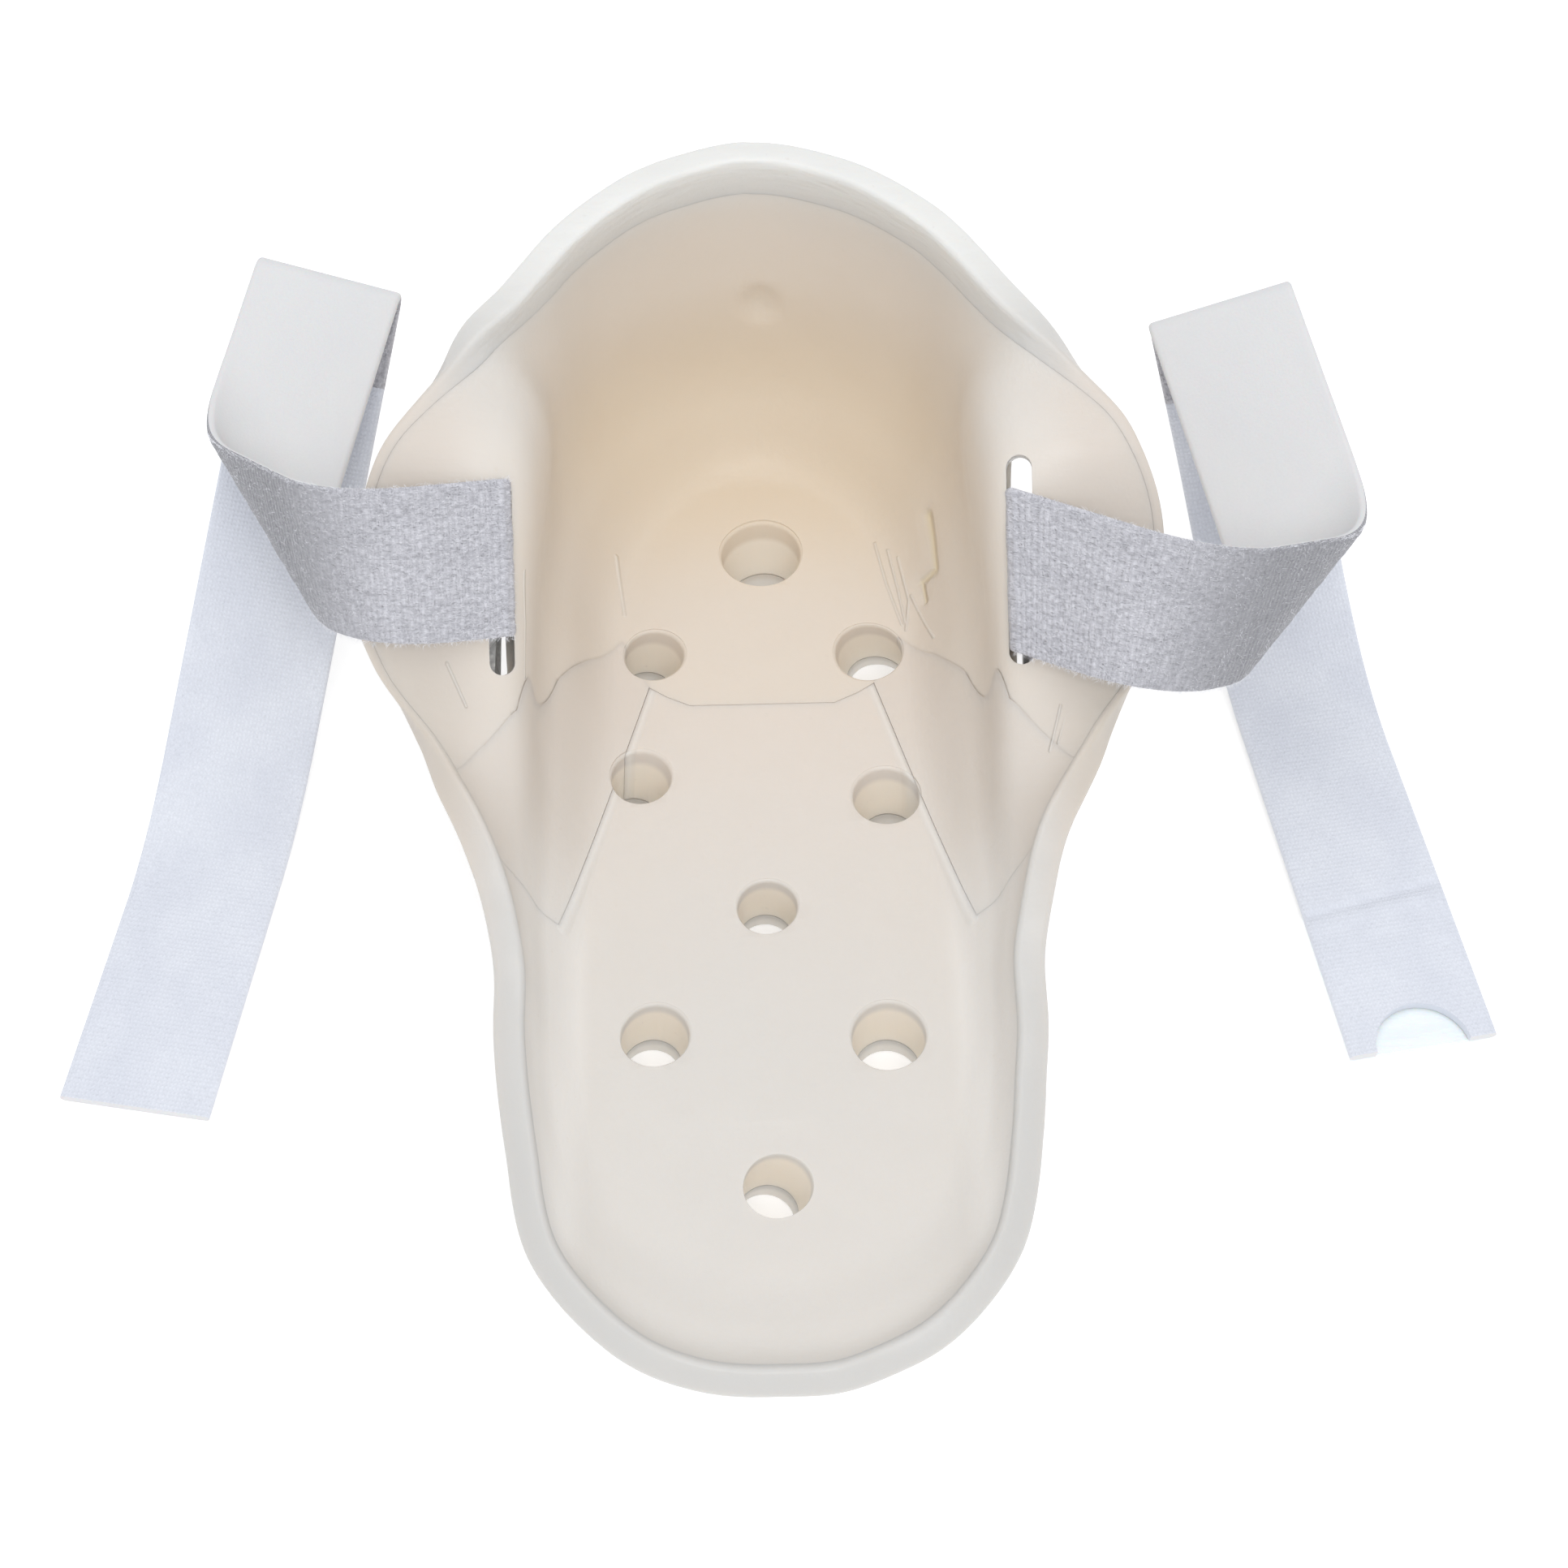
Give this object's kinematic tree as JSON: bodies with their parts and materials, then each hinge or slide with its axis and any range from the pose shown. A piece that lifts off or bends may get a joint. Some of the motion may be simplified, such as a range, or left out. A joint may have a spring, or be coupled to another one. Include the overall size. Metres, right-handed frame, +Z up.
{
  "type": "ankle foot orthosis",
  "caption": "Low moulded ankle foot orthosis: a drilled heel-and-sole shell with a soft liner, flared slotted ankle wings and hook-and-loop straps.",
  "frame": {"origin": "centre of the sole's flat underside", "axes": "+X towards the strap on the right as seen from behind the heel, across the foot; -Y towards the toes; +Z up"},
  "size_m": [0.2348, 0.1919, 0.0799],
  "materials": {
    "shell_plastic": "moulded thermoplastic, trimmed by hand",
    "liner_foam": "smooth heat-moulded foam",
    "gusset_foam": "smooth heat-moulded foam, a little darker",
    "strap_loop": "white loop tape",
    "hook_strip": "white hook tape",
    "tab_plastic": "smooth pale plastic"
  },
  "bodies": {
    "shell": {"outer_shell": "shell_plastic", "heel_liner": "liner_foam", "forefoot_liner": "liner_foam", "side_gusset_left": "gusset_foam", "side_gusset_right": "gusset_foam", "hook_patch_left": "hook_strip", "hook_patch_right": "hook_strip", "strap_left_anchor": "strap_loop", "strap_right_anchor": "strap_loop"},
    "strap_left_run": {"strap_left_run": "strap_loop"},
    "strap_left_end": {"strap_left_end": "strap_loop"},
    "strap_right_run": {"strap_right_run": "strap_loop"},
    "strap_right_end": {"strap_right_end": "strap_loop", "hook_tab_right": "tab_plastic"}
  },
  "joints": [
    {"name": "strap_left_swing", "type": "hinge", "parent": "shell", "child": "strap_left_run", "pos_m": [-0.0395, 0.0237, 0.0619], "axis": [0.024, 0.6621, 0.749], "range_deg": [0, 50]},
    {"name": "strap_left_lift", "type": "hinge", "parent": "strap_left_run", "child": "strap_left_end", "pos_m": [-0.09308, 0.01473, 0.00386], "axis": [-0.9806, -0.1962, 0], "range_deg": [0, 50]},
    {"name": "strap_right_swing", "type": "hinge", "parent": "shell", "child": "strap_right_run", "pos_m": [0.0414, 0.0207, 0.059], "axis": [0.024, -0.6621, -0.749], "range_deg": [0, 50]},
    {"name": "strap_right_lift", "type": "hinge", "parent": "strap_right_run", "child": "strap_right_end", "pos_m": [0.09303, 0.05204, 0.00992], "axis": [-0.983, 0.1836, 0], "range_deg": [0, 50]}
  ]
}
